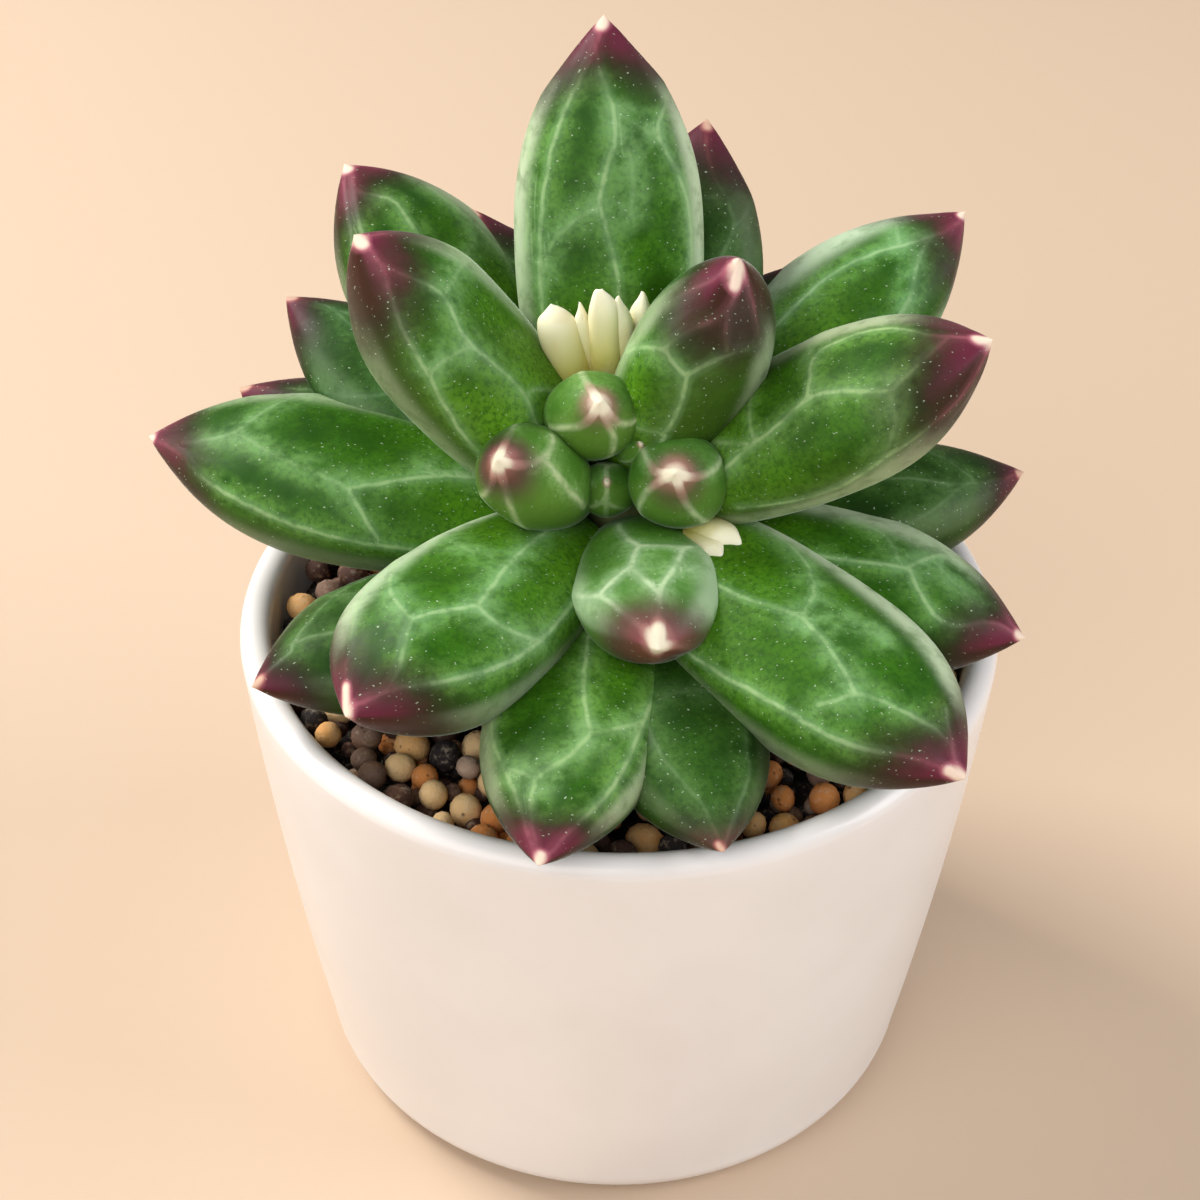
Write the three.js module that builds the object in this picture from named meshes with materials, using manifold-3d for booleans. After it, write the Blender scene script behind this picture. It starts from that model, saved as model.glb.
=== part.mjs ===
// A potted succulent: a rosette of fat pointed leaves on a short stem, in a plain round pot of clay grit.
// Millimetres, +Z up. The origin is the middle of the pot's flat underside, and -Y is the front.
import * as THREE from 'three';
import { mergeVertices } from 'three/addons/utils/BufferGeometryUtils.js';
import Module from 'manifold-3d';

const wasm = await Module();
wasm.setup();

// Pot: outer wall. Below the rim it draws in by the lean, and by the belly's part towards the foot.
const POT_RIM_RADIUS = 40;
const POT_HEIGHT = 57;
const POT_WALL_LEAN = 4.3;
const POT_WALL_BELLY = 2.75;
const POT_WALL_STEPS = 6;
const POT_FOOT_ROUND = 4;
const POT_FOOT_STEPS = 4;
const POT_SIDES = 48;

// Pot: wall, floor and the rounded lip
const POT_WALL = 3.3;
const POT_FLOOR = 5;
const POT_LIP_STEPS = 6;

// Grit bed: its surface is a shallow dish below the rim
const GRIT_EDGE_HEIGHT = 53;
const GRIT_MIDDLE_HEIGHT = 52.4;
const GRIT_RINGS = 4;
const POT_WALL_CLEARANCE = 0.6;

// Clearance left between pieces that rest on each other
const GAP = 0.35;

// Stem: points up its middle, each with the radius there. The top bends towards the front.
const STEM_SIDES = 10;
const STEM_TOP_ROUND = 1;
const STEM = [
  { at: [0, 2, 46], radius: 4.6 },
  { at: [0, 2, 56], radius: 5.2 },
  { at: [0, 1, 65], radius: 5 },
  { at: [0, -0.5, 72], radius: 4.2 },
  { at: [-0.4, -1, 76.5], radius: 2.5 },
];

// Leaf outline: the widest place along the length, the width at the root as a part of the full width,
// and how full the shoulders are between the widest place and the point
const LEAF_OUTLINE = { widest: 0.52, rootWidth: 0.5, shoulder: 2.6 };
const BRACT_OUTLINE = { widest: 0.72, rootWidth: 0.45, shoulder: 4 };
const LEAF_ROOT_ROUND = 0.06;
const LEAF_SIDES = 8;
const LEAF_RINGS = 8;
const BRACT_SIDES = 6;
const BRACT_RINGS = 5;

// Half thickness above and below the middle plane, as parts of the full width
const LEAF_SECTION = { above: 0.31, below: 0.39 };
const YOUNG_LEAF_SECTION = { above: 0.42, below: 0.45 };
const BRACT_SECTION = { above: 0.42, below: 0.42 };

// Leaves. root is where the leaf's middle line starts inside the rosette. turn is its compass direction
// seen from above, 0 to the front and 90 to the right. rise is its angle above level.
// Each list is in the order in which a leaf keeps its shape where it meets the ones after it.
const CENTRE_LEAVES = [
  { root: [-3.7, 1.5, 78.2], turn: 8, rise: 43.5, length: 16, width: 9.6 },
  { root: [-4.5, -3, 72], turn: -31.5, rise: 44.5, length: 18.5, width: 12.2 },
  { root: [6.2, -1.5, 72.4], turn: -5.5, rise: 43, length: 16, width: 9.8 },
  { root: [1.5, -4.5, 70], turn: 5, rise: 7, length: 22.5, width: 15, ...LEAF_SECTION },
  { root: [-1.4, -2, 72.3], turn: 0, rise: 44, length: 10.5, width: 6.2 },
  { root: [1.2, -1.5, 77.7], turn: 6, rise: 39.5, length: 8.5, width: 4.6 },
];
const UPPER_LEAVES = [
  { root: [-0.5, 4, 70], turn: -175, rise: 68, length: 47, width: 19.5 },
  { root: [-3, 1, 71], turn: -89, rise: 53, length: 37.5, width: 20.5 },
  { root: [1.2, 3, 72], turn: 64, rise: 69, length: 30, width: 19.5 },
  { root: [3, 1, 71.5], turn: 78.5, rise: 34, length: 39.5, width: 20.5 },
  { root: [2.5, -3, 69.5], turn: 42.5, rise: -6.5, length: 44, width: 21.2 },
  { root: [-4, -3, 69], turn: -36, rise: 0.5, length: 36.5, width: 20.5 },
  { root: [-4.5, 0, 67.5], turn: -99.5, rise: 6.5, length: 45.5, width: 21 },
  { root: [-2, 4.5, 67], turn: -128, rise: 39, length: 44, width: 20.5 },
  { root: [2, 5, 68.5], turn: 118.5, rise: 30, length: 44.5, width: 19.5 },
  { root: [3.5, -0.5, 67], turn: 67.5, rise: -2.5, length: 39.5, width: 19.5 },
  { root: [-0.5, -4, 64], turn: -10, rise: -4.5, length: 40, width: 18 },
];
const LOWER_LEAVES = [
  { root: [1.5, 5.5, 63], turn: 162, rise: 56.5, length: 43, width: 18.5 },
  { root: [-2, 6, 62], turn: -143, rise: 50.5, length: 36.5, width: 17 },
  { root: [1, 6, 62], turn: 131, rise: 44.5, length: 33.5, width: 15.5 },
  { root: [-4, 3, 63], turn: -121, rise: 25.5, length: 41, width: 17 },
  { root: [-4, 2, 62], turn: -110, rise: 16.5, length: 40.5, width: 18 },
  { root: [3, 1, 62.5], turn: 105.5, rise: 4, length: 42, width: 17.5 },
  { root: [-4, -1, 61.5], turn: -57, rise: 3, length: 38, width: 17 },
  { root: [1, -3.5, 62], turn: 13, rise: -3, length: 38, width: 17 },
  { root: [-0.5, 6, 61], turn: -172, rise: 14, length: 34, width: 16 },
  { root: [1.5, 5, 60], turn: 156, rise: 11, length: 33, width: 15 },
  { root: [-1, 6, 65], turn: 180, rise: 40, length: 38, width: 16.5 },
];

// Bracts: small pale pointed leaves in a tuft behind the middle, and two pairs at its sides
const BRACTS = [
  { root: [-0.8, 2.5, 76], turn: -55, rise: 85.5, length: 18.5, width: 3.2 },
  { root: [-3, 2, 76], turn: -98, rise: 76, length: 16.5, width: 4.2 },
  { root: [0.4, 3, 76], turn: -37, rise: 86, length: 17, width: 2.7 },
  { root: [-2, 3, 76], turn: -77, rise: 82, length: 16, width: 2 },
  { root: [1.6, 3, 76], turn: 162, rise: 87.5, length: 16.5, width: 2.6 },
  { root: [-5, 1, 76], turn: -103, rise: 76.5, length: 7.5, width: 1.9 },
  { root: [4, -1, 75], turn: 73, rise: 48.5, length: 7, width: 2 },
  { root: [5, -4.2, 72], turn: 42.5, rise: 7.5, length: 9, width: 3.6 },
  { root: [4.8, -4.8, 70.8], turn: 33, rise: 11, length: 9.2, width: 3.2 },
];

const potMaterial = () => new THREE.MeshStandardMaterial({ color: 0xf1ecea, roughness: 0.25 });
const gritMaterial = () => new THREE.MeshStandardMaterial({ color: 0x6b4a33, roughness: 0.9 });
const stemMaterial = () => new THREE.MeshStandardMaterial({ color: 0x5f7d3c, roughness: 0.6 });
const upperLeafMaterial = () => new THREE.MeshStandardMaterial({ color: 0x4c7a3a, roughness: 0.45 });
const lowerLeafMaterial = () => new THREE.MeshStandardMaterial({ color: 0x35592f, roughness: 0.5 });
const centreLeafMaterial = () => new THREE.MeshStandardMaterial({ color: 0x6f9a55, roughness: 0.45 });
const bractMaterial = () => new THREE.MeshStandardMaterial({ color: 0xe9e3bd, roughness: 0.5 });

// A closed geometry as a solid that can be joined and cut.
function toSolid(geometry) {
  const bare = geometry.index ? geometry.toNonIndexed() : geometry.clone();
  bare.deleteAttribute('normal');
  bare.deleteAttribute('uv');
  const merged = mergeVertices(bare);
  return new wasm.Manifold(new wasm.Mesh({
    numProp: 3,
    vertProperties: merged.getAttribute('position').array,
    triVerts: new Uint32Array(merged.index.array),
  }));
}

// A solid as a geometry with flat faces.
function toGeometry(solid) {
  const { vertProperties, triVerts } = solid.getMesh();
  const indexed = new THREE.BufferGeometry();
  indexed.setAttribute('position', new THREE.BufferAttribute(vertProperties, 3));
  indexed.setIndex(new THREE.BufferAttribute(triVerts, 1));
  const geometry = indexed.toNonIndexed();
  geometry.computeVertexNormals();
  return geometry;
}

// The largest of the bodies that a cut leaves.
function largestBody(solid) {
  const bodies = solid.decompose();
  return bodies.reduce((best, body) => (body.volume() > best.volume() ? body : best));
}

// Half width of a leaf at a part s of its length from the root, as a part of the full half width:
// a parabola from the root up to the widest place, then a fuller curve down to the point.
function leafOutline(s, { widest, rootWidth, shoulder }) {
  if (s < widest) {
    const inward = (widest - s) / widest;
    const rootRound = Math.sqrt(1 - (1 - Math.min(s / LEAF_ROOT_ROUND, 1)) ** 2);
    return (1 - (1 - rootWidth) * inward ** 2) * rootRound;
  }
  const outward = (s - widest) / (1 - widest);
  return 1 - outward ** shoulder;
}

// A leaf along its own -Y from the root, with +Z as its upper side: a sphere's rings are spread
// along the length and each is given the outline's width. grow thickens the leaf all round.
function leafGeometry({ length, width, above, below, outline }, sides, rings, grow = 0) {
  const geometry = new THREE.SphereGeometry(1, sides, rings);
  const point = geometry.getAttribute('position');
  for (let i = 0; i < point.count; i += 1) {
    const s = Math.acos(THREE.MathUtils.clamp(point.getY(i), -1, 1)) / Math.PI;
    const around = Math.atan2(point.getZ(i), point.getX(i));
    const half = (width / 2) * leafOutline(s, outline);
    const thickness = half * 2 * (Math.sin(around) > 0 ? above : below);
    const grown = half > 0 ? grow : 0;
    const x = (half + grown) * Math.cos(around);
    const z = (thickness + grown) * Math.sin(around);
    point.setXYZ(i, x, grow - s * (length + 2 * grow), z);
  }
  return geometry;
}

// An empty holder set at the leaf's root and turned along the leaf.
function leafPlace({ root, turn, rise }) {
  const place = new THREE.Object3D();
  place.position.set(...root);
  place.rotation.set(THREE.MathUtils.degToRad(-rise), 0, THREE.MathUtils.degToRad(turn), 'ZYX');
  place.updateMatrix();
  return place;
}

// The stem as rings of points carried up its middle line and closed at both ends.
function stemGeometry(grow = 0) {
  const rings = STEM.length;
  const geometry = new THREE.SphereGeometry(1, STEM_SIDES, rings + 1);
  const point = geometry.getAttribute('position');
  for (let i = 0; i < point.count; i += 1) {
    const ring = Math.floor(i / (STEM_SIDES + 1));
    const lowest = ring === rings + 1;
    const highest = ring === 0;
    const stop = STEM[THREE.MathUtils.clamp(rings - ring, 0, rings - 1)];
    const around = Math.atan2(point.getZ(i), point.getX(i));
    const radius = lowest || highest ? 0 : stop.radius + grow;
    const lift = (highest ? STEM_TOP_ROUND + grow : 0) - (lowest || ring === rings ? grow : 0);
    point.setXYZ(
      i,
      stop.at[0] + radius * Math.cos(around),
      stop.at[1] - radius * Math.sin(around),
      stop.at[2] + lift,
    );
  }
  return geometry;
}

// Outer radius of the pot's wall at a height.
function potRadius(z) {
  const down = 1 - z / POT_HEIGHT;
  return POT_RIM_RADIUS - POT_WALL_LEAN * down - POT_WALL_BELLY * down ** 2;
}

// Points down or up the wall between two heights, both ends included, set in from its outside.
function wallPoints(from, to, inset) {
  return Array.from({ length: POT_WALL_STEPS + 1 }, (_, step) => {
    const z = from + ((to - from) * step) / POT_WALL_STEPS;
    return new THREE.Vector2(potRadius(z) - inset, z);
  });
}

// Points on an arc in the profile's plane, from one angle to another.
function arcPoints(middleX, middleY, radius, from, to, steps) {
  return Array.from({ length: steps + 1 }, (_, step) => {
    const angle = from + ((to - from) * step) / steps;
    return new THREE.Vector2(middleX + radius * Math.cos(angle), middleY + radius * Math.sin(angle));
  });
}

// The pot as one turned profile: flat underside, rounded foot, flared wall with a slight belly, round
// lip, then the wall and floor inside.
function potGeometry() {
  const footMiddle = potRadius(POT_FOOT_ROUND) - POT_FOOT_ROUND;
  const lipRadius = POT_WALL / 2;
  const lipHeight = POT_HEIGHT - lipRadius;
  const lipMiddle = potRadius(lipHeight) - lipRadius;
  const profile = [
    new THREE.Vector2(0, 0),
    ...arcPoints(footMiddle, POT_FOOT_ROUND, POT_FOOT_ROUND, -Math.PI / 2, 0, POT_FOOT_STEPS),
    ...wallPoints(POT_FOOT_ROUND, lipHeight, 0).slice(1, -1),
    ...arcPoints(lipMiddle, lipHeight, lipRadius, 0, Math.PI, POT_LIP_STEPS),
    ...wallPoints(lipHeight, POT_FLOOR, POT_WALL).slice(1),
    new THREE.Vector2(0, POT_FLOOR),
  ];
  return new THREE.LatheGeometry(profile, POT_SIDES);
}

// The grit bed fills the pot to just below the rim, and the stem stands in it.
function gritSolid() {
  const inset = POT_WALL + POT_WALL_CLEARANCE;
  const bottom = POT_FLOOR + GAP;
  const profile = [new THREE.Vector2(0, bottom), ...wallPoints(bottom, GRIT_EDGE_HEIGHT, inset)];
  for (let ring = 1; ring <= GRIT_RINGS; ring += 1) {
    const inward = ring / GRIT_RINGS;
    const rise = (GRIT_MIDDLE_HEIGHT - GRIT_EDGE_HEIGHT) * (1 - (1 - inward) ** 2);
    const radius = (potRadius(GRIT_EDGE_HEIGHT) - inset) * (1 - inward);
    profile.push(new THREE.Vector2(radius, GRIT_EDGE_HEIGHT + rise));
  }
  const bed = toSolid(new THREE.LatheGeometry(profile, POT_SIDES).rotateX(Math.PI / 2));
  return bed.subtract(toSolid(stemGeometry(GAP)));
}

const plant = new THREE.Group();
const cutters = [toSolid(stemGeometry(GAP))];

function addMesh(name, geometry, material, place) {
  const mesh = new THREE.Mesh(geometry, material);
  mesh.name = name;
  if (place) {
    mesh.position.copy(place.position);
    mesh.rotation.copy(place.rotation);
  }
  plant.add(mesh);
}

// Adds a row of leaves that share a shape, unless one has its own. Each is cut back where it would
// meet the stem or a leaf added before it.
function addLeaves(name, leaves, shape, material, sides, rings) {
  leaves.forEach((row, index) => {
    const leaf = { ...shape, ...row };
    const place = leafPlace(leaf);
    const solid = toSolid(leafGeometry(leaf, sides, rings).applyMatrix4(place.matrix));
    const trimmed = largestBody(wasm.Manifold.difference([solid, ...cutters]));
    const geometry = toGeometry(trimmed).applyMatrix4(place.matrix.clone().invert());
    addMesh(`${name}_${index + 1}`, geometry, material(), place);
    cutters.push(toSolid(leafGeometry(leaf, sides, rings, GAP).applyMatrix4(place.matrix)));
  });
}

addMesh('pot', potGeometry().rotateX(Math.PI / 2), potMaterial());
addMesh('grit_bed', toGeometry(gritSolid()), gritMaterial());
addMesh('stem', stemGeometry(), stemMaterial());
const leafShape = { ...LEAF_SECTION, outline: LEAF_OUTLINE };
const youngLeafShape = { ...YOUNG_LEAF_SECTION, outline: LEAF_OUTLINE };
const bractShape = { ...BRACT_SECTION, outline: BRACT_OUTLINE };
addLeaves('centre_leaf', CENTRE_LEAVES, youngLeafShape, centreLeafMaterial, LEAF_SIDES, LEAF_RINGS);
addLeaves('bract', BRACTS, bractShape, bractMaterial, BRACT_SIDES, BRACT_RINGS);
addLeaves('upper_leaf', UPPER_LEAVES, leafShape, upperLeafMaterial, LEAF_SIDES, LEAF_RINGS);
addLeaves('lower_leaf', LOWER_LEAVES, leafShape, lowerLeafMaterial, LEAF_SIDES, LEAF_RINGS);

export default plant;
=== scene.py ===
import math

import bpy
import numpy as np
from mathutils import Matrix, Vector


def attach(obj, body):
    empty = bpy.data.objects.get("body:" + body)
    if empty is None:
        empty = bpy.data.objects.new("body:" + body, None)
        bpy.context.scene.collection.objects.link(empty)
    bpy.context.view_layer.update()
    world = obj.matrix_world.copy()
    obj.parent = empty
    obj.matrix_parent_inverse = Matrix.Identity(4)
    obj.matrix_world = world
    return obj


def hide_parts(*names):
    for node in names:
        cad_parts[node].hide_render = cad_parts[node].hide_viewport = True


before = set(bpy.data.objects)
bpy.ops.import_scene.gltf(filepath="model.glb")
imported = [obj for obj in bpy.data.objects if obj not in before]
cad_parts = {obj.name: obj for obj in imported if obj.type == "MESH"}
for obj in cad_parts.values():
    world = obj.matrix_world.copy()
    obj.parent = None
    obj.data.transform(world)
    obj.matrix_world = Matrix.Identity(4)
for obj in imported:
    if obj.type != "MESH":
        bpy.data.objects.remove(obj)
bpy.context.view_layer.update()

mm = 0.001  # every size below is in millimetres and goes into the scene in metres
draw = np.random.default_rng(23)


def addNode(tree, kind, wires=None, **settings):
    # Adds a node, sets its properties, and links or fills its sockets
    made = tree.nodes.new(kind)
    for key, value in settings.items():
        setattr(made, key, value)
    for socket, value in (wires or {}).items():
        if isinstance(value, bpy.types.NodeSocket):
            tree.links.new(value, made.inputs[socket])
        else:
            made.inputs[socket].default_value = value
    return made


def mixColour(tree, factor, first, second, blend="MIX"):
    # The first colour at factor 0 and the second at 1
    wires = {0: factor, 6: first, 7: second}
    return addNode(tree, "ShaderNodeMix", wires, data_type="RGBA", blend_type=blend).outputs[2]


def arithmetic(tree, operation, first, second, clamp=False):
    wires = {0: first, 1: second}
    return addNode(tree, "ShaderNodeMath", wires, operation=operation, use_clamp=clamp).outputs[0]


def times(tree, first, second, clamp=False):
    return arithmetic(tree, "MULTIPLY", first, second, clamp)


def plus(tree, first, second):
    return arithmetic(tree, "ADD", first, second)


def minus(tree, first, second):
    return arithmetic(tree, "SUBTRACT", first, second)


def vectorNode(tree, operation, *values):
    return addNode(tree, "ShaderNodeVectorMath", dict(enumerate(values)), operation=operation)


def ramp(tree, value, low, high, outLow=0.0, outHigh=1.0):
    # A smooth step from outLow, where the value is low, to outHigh, where it is high
    wires = {"Value": value, "From Min": low, "From Max": high, "To Min": outLow, "To Max": outHigh}
    return addNode(tree, "ShaderNodeMapRange", wires, interpolation_type="SMOOTHSTEP").outputs["Result"]


def noiseNode(tree, place, size, detail, roughness=0.5):
    # size is the width of one blotch in millimetres
    wires = {"Vector": place, "Scale": 1 / (size * mm), "Detail": detail, "Roughness": roughness}
    return addNode(tree, "ShaderNodeTexNoise", wires)


def noise(tree, place, size, detail=3.0, roughness=0.55):
    return noiseNode(tree, place, size, detail, roughness).outputs["Fac"]


def cellNode(tree, place, size):
    return addNode(tree, "ShaderNodeTexVoronoi", {"Vector": place, "Scale": 1 / (size * mm)})


def attribute(tree, name):
    return addNode(tree, "ShaderNodeAttribute", attribute_name=name).outputs["Fac"]


def addBump(tree, shader, height, strength, distance):
    # distance is in millimetres
    wires = {"Strength": strength, "Distance": distance * mm, "Height": height}
    tree.links.new(addNode(tree, "ShaderNodeBump", wires).outputs[0], shader.inputs["Normal"])


def setShader(shader, finish):
    for socket, value in finish.items():
        shader.inputs[socket].default_value = value


def newMaterial(name):
    material = bpy.data.materials.new(name)
    material.use_nodes = True
    tree = material.node_tree
    place = addNode(tree, "ShaderNodeTexCoord").outputs["Object"]
    return material, tree, tree.nodes["Principled BSDF"], place


def rgb(red, green, blue):
    return (red, green, blue, 1.0)


def circle(columns, start=0.0):
    # Angles of evenly spaced columns, once round from the start
    return np.linspace(start, start + 2 * math.pi, columns, endpoint=False)


def ringPlaces(rings, crowd):
    # Even places along a skin, mixed by crowd with a cosine's, which stand closer at both ends
    even = np.linspace(0, 1, rings + 2)[1:-1]
    return (1 - crowd) * even + crowd * (0.5 - 0.5 * np.cos(math.pi * even))


def closedSkin(rings, columns):
    # Faces of a closed skin: a first point, rings of points, a last point
    start = 1 + np.arange(rings)[:, None] * columns
    column = np.arange(columns)[None, :]
    after = (column + 1) % columns
    low, high = start[:-1], start[1:]
    quads = np.stack([low + column, low + after, high + after, high + column], -1).reshape(-1, 4)
    last = 1 + rings * columns
    firstFan = np.stack([np.zeros_like(column), start[0] + after, start[0] + column], -1).reshape(-1, 3)
    lastFan = np.stack([np.full_like(column, last), start[-1] + column, start[-1] + after], -1).reshape(-1, 3)
    return quads, np.concatenate([firstFan, lastFan])


def addPiece(name, points, quads, triangles, material, replaced, values=None):
    # points are in millimetres. Faces are turned round if they hold a negative volume.
    fans = np.concatenate([quads[:, [0, 1, 2]], quads[:, [0, 2, 3]], triangles])
    corner = points[fans]
    volume = np.einsum("ij,ij->i", corner[:, 0], np.cross(corner[:, 1], corner[:, 2])).sum()
    if volume < 0:
        quads, triangles = quads[:, ::-1], triangles[:, ::-1]
    loops = np.concatenate([quads.ravel(), triangles.ravel()]).astype(np.int32)
    sizes = np.concatenate([np.full(len(quads), 4), np.full(len(triangles), 3)])
    mesh = bpy.data.meshes.new(name)
    mesh.vertices.add(len(points))
    mesh.vertices.foreach_set("co", (points * mm).astype(np.float32).ravel())
    mesh.loops.add(len(loops))
    mesh.loops.foreach_set("vertex_index", loops)
    mesh.polygons.add(len(sizes))
    mesh.polygons.foreach_set("loop_start", (np.cumsum(sizes) - sizes).astype(np.int32))
    mesh.update(calc_edges=True)
    mesh.shade_smooth()
    for key, value in (values or {}).items():
        mesh.attributes.new(key, "FLOAT", "POINT").data.foreach_set("value", value.astype(np.float32))
    mesh.materials.append(material)
    piece = bpy.data.objects.new(name, mesh)
    bpy.context.scene.collection.objects.link(piece)
    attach(piece, "root")
    for node in replaced:
        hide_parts(node)
    return piece


pot = {
    "rimRadius": 40.0, "height": 57.0, "lean": 4.3, "belly": 2.75, "footRound": 4.0, "wall": 3.3,
    "floor": 5.0, "hubRadius": 16.0, "footSteps": 10, "lipSteps": 17, "wallSteps": 26, "columns": 144,
    "glaze": rgb(0.82, 0.8, 0.795), "glazeShade": rgb(0.79, 0.765, 0.755), "roughness": (0.32, 0.4),
    "finish": {"Coat Weight": 0.25, "Coat Roughness": 0.12},
}


def potWallAt(z):
    # Outer radius: below the rim the wall draws in by the lean, and by the belly's part towards the foot
    down = 1 - z / pot["height"]
    return pot["rimRadius"] - pot["lean"] * down - pot["belly"] * down ** 2


def potProfile():
    # Radius and height along the turned shape: foot, flared wall, half round lip, inner wall, floor
    turn = np.linspace(-math.pi / 2, 0, pot["footSteps"])
    footMiddle = potWallAt(pot["footRound"]) - pot["footRound"]
    foot = np.stack([footMiddle + pot["footRound"] * np.cos(turn), pot["footRound"] * (1 + np.sin(turn))], 1)
    lip = pot["wall"] / 2
    turn = np.linspace(0, math.pi, pot["lipSteps"])
    lipMiddle = potWallAt(pot["height"] - lip) - lip
    lipArc = np.stack([lipMiddle + lip * np.cos(turn), pot["height"] - lip + lip * np.sin(turn)], 1)
    z = np.linspace(pot["footRound"], pot["height"] - lip, pot["wallSteps"])[1:-1]
    wall = np.stack([potWallAt(z), z], 1)
    inner = np.stack([potWallAt(z[::-1]) - pot["wall"], z[::-1]], 1)
    inner = inner[inner[:, 1] > pot["floor"]]
    corner = [[potWallAt(pot["floor"]) - pot["wall"], pot["floor"]]]
    under, inside = [[pot["hubRadius"], 0]], [[pot["hubRadius"], pot["floor"]]]
    return np.concatenate([under, foot, wall, lipArc, inner, corner, inside])


def glazeMaterial():
    # White glaze that clouds between two close shades, with slow waves in its gloss and its surface
    material, tree, shader, place = newMaterial("whiteGlaze")
    cloud = ramp(tree, noise(tree, place, 18, 2), 0.35, 0.7)
    tree.links.new(mixColour(tree, cloud, pot["glaze"], pot["glazeShade"]), shader.inputs["Base Color"])
    gloss = ramp(tree, noise(tree, place, 7, 2), 0.2, 0.8, *pot["roughness"])
    tree.links.new(gloss, shader.inputs["Roughness"])
    addBump(tree, shader, noise(tree, place, 9, 1), 0.06, 0.4)
    setShader(shader, pot["finish"])
    return material


def makePot():
    # The profile turned once round, closed by a point under the foot and one on the floor
    profile = potProfile()
    columns = pot["columns"]
    around = circle(columns)
    ring = np.stack([np.cos(around), np.sin(around)], 1)
    points = np.concatenate([
        np.concatenate([radius * ring, np.full((columns, 1), z)], 1) for radius, z in profile])
    points = np.concatenate([[[0, 0, 0]], points, [[0, 0, pot["floor"]]]])
    quads, triangles = closedSkin(len(profile), columns)
    addPiece("potShell", points, quads, triangles, glazeMaterial(), ["pot"])


makePot()
print("pot made")

grit = {
    "edgeHeight": 54.9, "middleHeight": 53.9, "ballRadius": (1.35, 1.85), "smallRadius": (0.9, 1.4),
    "layerDrop": 2.3, "unevenness": 0.45, "triesTop": 4200, "triesUnder": 5200, "wallGap": 0.1,
    "closest": 0.93, "touching": 0.97, "push": 0.25, "pushes": 60,  # as parts of two balls' radii
    "faceCells": 3, "squash": (0.86, 1.04), "dent": 0.035, "dentWaves": 2.6, "underShadeTone": 0.5,
    "bedColumns": 96, "bedGap": (0.2, 0.3), "bedBottom": 5.3, "bedShadeTone": 0.05,
    "bedTop": ((1, 49.6), (0.7, 49.2), (0.35, 49.0)),  # part of the radius, height
    "clays": [  # from which tone on, colour
        (0.0, rgb(0.022, 0.017, 0.017)), (0.1, rgb(0.09, 0.045, 0.034)), (0.2, rgb(0.24, 0.15, 0.11)),
        (0.32, rgb(0.46, 0.32, 0.24)), (0.41, rgb(0.72, 0.28, 0.08)), (0.6, rgb(0.78, 0.45, 0.18)),
        (0.79, rgb(0.9, 0.62, 0.31))],
    "pit": rgb(0.03, 0.018, 0.012), "bloom": rgb(0.8, 0.66, 0.5), "stain": rgb(1, 0.7, 0.3),
    "finish": {"Roughness": 0.82, "Specular IOR Level": 0.3},
}


def gritHeight(radius):
    # A shallow dish: from the edge's height to the middle's along a parabola
    inward = 1 - radius / (potWallAt(grit["edgeHeight"]) - pot["wall"])
    return grit["edgeHeight"] + (grit["middleHeight"] - grit["edgeHeight"]) * (1 - (1 - inward) ** 2)


def scatterBalls(tries, drop, sizes):
    # Throws balls of many sizes into the pot's mouth and keeps each that touches none kept before it
    reach = potWallAt(grit["edgeHeight"]) - pot["wall"] - grit["wallGap"]
    radius = draw.uniform(*sizes, tries)
    spread = np.sqrt(draw.uniform(0, 1, tries)) * (reach - radius)
    turn = draw.uniform(0, 2 * math.pi, tries)
    flat = np.stack([spread * np.cos(turn), spread * np.sin(turn)], 1)
    kept = []
    for i in range(tries):
        apart = np.hypot(*(flat[kept] - flat[i]).T)
        if not kept or (apart > grit["closest"] * (radius[kept] + radius[i])).all():
            kept.append(i)
    flat, radius = flat[kept], radius[kept]
    for _ in range(grit["pushes"]):  # loosens the pile so that neighbours touch
        away = flat[:, None] - flat[None]
        itself = np.eye(len(flat)) * 99  # far enough that no ball pushes itself
        apart = np.linalg.norm(away, axis=2) + itself
        overlap = np.clip(grit["touching"] * (radius[:, None] + radius) - apart, 0, None)
        flat = flat + grit["push"] * (away / apart[..., None] * overlap[..., None]).sum(1)
        out = np.maximum(np.linalg.norm(flat, axis=1) / (reach - radius), 1)
        flat = flat / out[:, None]
    uneven = draw.uniform(-grit["unevenness"], grit["unevenness"], len(flat))
    height = gritHeight(np.linalg.norm(flat, axis=1)) - radius - drop + uneven
    return np.concatenate([flat, height[:, None]], 1), radius


def ballShape(cells):
    # A cube's six faces in a small grid, pushed out to a sphere, with the shared points merged
    line = np.tan(np.linspace(-1, 1, cells + 1) * math.pi / 4)
    u, v = np.meshgrid(line, line, indexing="ij")
    one = np.ones_like(u)
    sides = [(one, u, v), (-one, v, u), (v, one, u), (u, -one, v), (u, v, one), (v, u, -one)]
    points = np.concatenate([np.stack(side, -1).reshape(-1, 3) for side in sides])
    index = np.arange((cells + 1) ** 2).reshape(cells + 1, cells + 1)
    face = np.stack([index[:-1, :-1], index[1:, :-1], index[1:, 1:], index[:-1, 1:]], -1).reshape(-1, 4)
    quads = np.concatenate([face + k * (cells + 1) ** 2 for k in range(6)])
    points /= np.linalg.norm(points, axis=1)[:, None]
    _, first, merged = np.unique(points.round(5), axis=0, return_index=True, return_inverse=True)
    return points[first], merged.ravel()[quads]


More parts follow.
